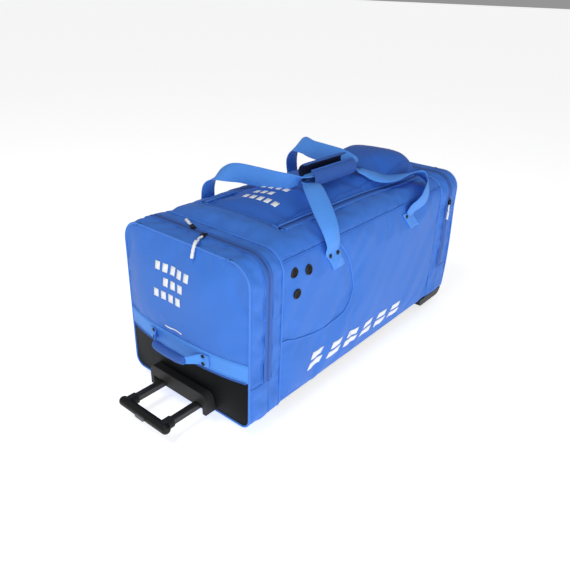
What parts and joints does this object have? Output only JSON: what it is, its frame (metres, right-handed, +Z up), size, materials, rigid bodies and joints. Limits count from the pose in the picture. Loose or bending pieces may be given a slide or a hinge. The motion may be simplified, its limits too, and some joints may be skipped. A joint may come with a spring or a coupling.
{
  "type": "hockey equipment bag",
  "caption": "Large wheeled holdall for ice hockey equipment, with a domed zipped lid, an end pocket at each end, wrapped webbing carry handles and a telescopic trolley handle.",
  "frame": {"origin": "under the middle of the bag, on the bottom face of its middle skid rail, at ground level", "axes": "+X along the bag from the trolley handle end to the wheel end, +Y to the side away from the viewer in the reference view, +Z up"},
  "size_m": [1.136, 0.4334, 0.5419],
  "materials": {
    "blue_fabric": "matt woven polyester",
    "black_fabric": "coated tarpaulin",
    "lining_fabric": "matt",
    "light_webbing": "satin webbing",
    "blue_piping": "satin",
    "black_plastic": "moulded, satin",
    "grey_plastic": "moulded",
    "zip_coil": "nylon coil",
    "white_pull": "moulded, soft",
    "steel": "plated",
    "tube_metal": "black anodised aluminium",
    "outer_tube_metal": "mill finish",
    "tyre_rubber": "matt",
    "hub_plastic": "moulded",
    "board": "fibre board"
  },
  "bodies": {
    "bag": {"floor_panel": "black_fabric", "base_board": "board", "tube_saddles": "grey_plastic", "skid_rails": "black_plastic", "near_side_panel": "blue_fabric", "far_side_panel": "blue_fabric", "top_border": "blue_fabric", "bulkheads": "lining_fabric", "front_gusset": "blue_fabric", "rear_gusset": "blue_fabric", "front_skirt": "black_fabric", "rear_skirt": "black_fabric", "front_lower_panel": "blue_fabric", "front_band": "light_webbing", "body_piping": "blue_piping", "main_zip": "zip_coil", "front_zip": "zip_coil", "rear_zip": "zip_coil", "vents": "black_plastic", "strap_patches": "light_webbing", "rivets": "black_plastic", "trolley_plate": "black_plastic", "outer_tubes": "outer_tube_metal", "wheel_housings": "black_plastic", "wheel_axles": "steel", "housing_screws": "steel"},
    "mid_stage": {"mid_tubes": "tube_metal", "mid_bushes": "black_plastic"},
    "inner_stage": {"inner_tubes": "tube_metal", "handle_grip": "black_plastic", "inner_plugs": "grey_plastic", "release_rods": "steel", "button_spring": "steel"},
    "button": {"release_button": "grey_plastic"},
    "pins": {"lock_pins": "steel"},
    "near_wheel": {"near_wheel_hub": "hub_plastic", "near_wheel_tyre": "tyre_rubber"},
    "far_wheel": {"far_wheel_hub": "hub_plastic", "far_wheel_tyre": "tyre_rubber"},
    "lid": {"lid_panel": "blue_fabric"},
    "front_flap": {"front_flap_panel": "blue_fabric", "front_flap_gusset": "blue_fabric"},
    "rear_flap": {"rear_flap_panel": "blue_fabric", "rear_flap_gusset": "blue_fabric"},
    "near_handle": {"near_strap": "light_webbing", "wrap_pad": "blue_fabric"},
    "far_handle": {"far_strap": "light_webbing"},
    "wrap": {"wrap_flap": "lining_fabric"},
    "grab_handle": {"grab_webbing": "light_webbing", "grab_grip": "blue_fabric"},
    "front_slider_near_body": {"front_slider_near": "black_plastic"},
    "front_slider_far_body": {"front_slider_far": "black_plastic"},
    "rear_slider_body": {"rear_slider": "black_plastic"},
    "main_slider_near_body": {"main_slider_near": "black_plastic"},
    "main_slider_far_body": {"main_slider_far": "black_plastic"},
    "front_pull_near_body": {"front_pull_near": "white_pull"},
    "front_pull_far_body": {"front_pull_far": "white_pull"},
    "rear_pull_body": {"rear_pull": "white_pull"},
    "main_pull_near_body": {"main_pull_near": "white_pull"},
    "main_pull_far_body": {"main_pull_far": "white_pull"}
  },
  "joints": [
    {"name": "mid_stage_slide", "type": "slide", "parent": "bag", "child": "mid_stage", "axis": [-1, 0, 0], "range_m": [0, 0.2]},
    {"name": "inner_stage_slide", "type": "slide", "parent": "mid_stage", "child": "inner_stage", "axis": [-1, 0, 0], "range_m": [-0.085, 0.165]},
    {"name": "button_press", "type": "slide", "parent": "inner_stage", "child": "button", "axis": [1, 0, 0], "range_m": [0, 0.004], "stiffness_N_per_m": 600, "springref_m": -0.002},
    {"name": "pin_retract", "type": "slide", "parent": "inner_stage", "child": "pins", "axis": [0, 0, 1], "range_m": [0, 0.003]},
    {"name": "near_wheel_spin", "type": "hinge", "parent": "bag", "child": "near_wheel", "pos_m": [0.4, -0.164, 0.04], "axis": [0, 1, 0], "continuous": true},
    {"name": "far_wheel_spin", "type": "hinge", "parent": "bag", "child": "far_wheel", "pos_m": [0.4, 0.164, 0.04], "axis": [0, 1, 0], "continuous": true},
    {"name": "lid_open", "type": "hinge", "parent": "bag", "child": "lid", "pos_m": [-0.297, 0, 0.434], "axis": [0, -1, 0], "range_deg": [0, 90]},
    {"name": "front_flap_open", "type": "hinge", "parent": "bag", "child": "front_flap", "pos_m": [-0.5005, 0, 0.235], "axis": [0, -1, 0], "range_deg": [0, 80]},
    {"name": "rear_flap_open", "type": "hinge", "parent": "bag", "child": "rear_flap", "pos_m": [0.5105, 0, 0.205], "axis": [0, 1, 0], "range_deg": [0, 80]},
    {"name": "near_handle_swing", "type": "hinge", "parent": "bag", "child": "near_handle", "pos_m": [0, -0.203, 0.395], "axis": [1, 0, 0], "range_deg": [0, 120], "deforming": ["near_strap", "wrap_pad"]},
    {"name": "far_handle_swing", "type": "hinge", "parent": "bag", "child": "far_handle", "pos_m": [0, 0.203, 0.395], "axis": [-1, 0, 0], "range_deg": [0, 120], "deforming": ["far_strap"]},
    {"name": "wrap_open", "type": "hinge", "parent": "near_handle", "child": "wrap", "pos_m": [-0.015, -0.037, 0.5], "axis": [1, 0, 0], "range_deg": [-40, 40], "deforming": ["wrap_flap"]},
    {"name": "grab_handle_swing", "type": "hinge", "parent": "bag", "child": "grab_handle", "pos_m": [-0.498, 0, 0.181], "axis": [0, 1, 0], "range_deg": [-45, 60], "deforming": ["grab_webbing"]},
    {"name": "front_slider_near_slide", "type": "slide", "parent": "bag", "child": "front_slider_near_body", "axis": [0, -1, 0], "range_m": [0, 0.13]},
    {"name": "front_slider_far_slide", "type": "slide", "parent": "bag", "child": "front_slider_far_body", "axis": [0, 1, 0], "range_m": [0, 0.13]},
    {"name": "rear_slider_slide", "type": "slide", "parent": "bag", "child": "rear_slider_body", "axis": [0, 0, -1], "range_m": [0, 0.17]},
    {"name": "main_slider_near_slide", "type": "slide", "parent": "bag", "child": "main_slider_near_body", "axis": [0, -1, 0], "range_m": [0, 0.1]},
    {"name": "main_slider_far_slide", "type": "slide", "parent": "bag", "child": "main_slider_far_body", "axis": [0, 1, 0], "range_m": [0, 0.1]},
    {"name": "front_pull_near_swing", "type": "hinge", "parent": "front_slider_near_body", "child": "front_pull_near_body", "pos_m": [-0.42, -0.017, 0.4427], "axis": [-0.4226, 0.9063, 0], "range_deg": [0, 120]},
    {"name": "front_pull_far_swing", "type": "hinge", "parent": "front_slider_far_body", "child": "front_pull_far_body", "pos_m": [-0.42, 0.019, 0.4427], "axis": [0.9135, -0.4067, 0], "range_deg": [0, 120]},
    {"name": "main_pull_near_swing", "type": "hinge", "parent": "main_slider_near_body", "child": "main_pull_near_body", "pos_m": [0.355, -0.017, 0.4427], "axis": [-0.6428, -0.766, 0], "range_deg": [0, 85]},
    {"name": "main_pull_far_swing", "type": "hinge", "parent": "main_slider_far_body", "child": "main_pull_far_body", "pos_m": [0.355, 0.017, 0.4427], "axis": [0.6428, -0.766, 0], "range_deg": [0, 85]},
    {"name": "rear_pull_swing", "type": "hinge", "parent": "rear_slider_body", "child": "rear_pull_body", "pos_m": [0.42, -0.2077, 0.369], "axis": [-1, 0, 0], "range_deg": [0, 120]}
  ],
  "couplings": [
    {"joint": "pin_retract", "follows": "button_press", "ratio": 0.7},
    {"joint": "near_handle_swing", "follows": "lid_open", "ratio": 1.3},
    {"joint": "far_handle_swing", "follows": "lid_open", "ratio": 1.3},
    {"joint": "main_slider_near_slide", "follows": "lid_open", "m_per_rad": 0.06},
    {"joint": "main_slider_far_slide", "follows": "lid_open", "m_per_rad": 0.06},
    {"joint": "front_slider_near_slide", "follows": "front_flap_open", "m_per_rad": 0.09},
    {"joint": "front_slider_far_slide", "follows": "front_flap_open", "m_per_rad": 0.09},
    {"joint": "front_pull_near_swing", "follows": "front_flap_open", "ratio": 1.4},
    {"joint": "rear_slider_slide", "follows": "rear_flap_open", "m_per_rad": 0.12}
  ]
}
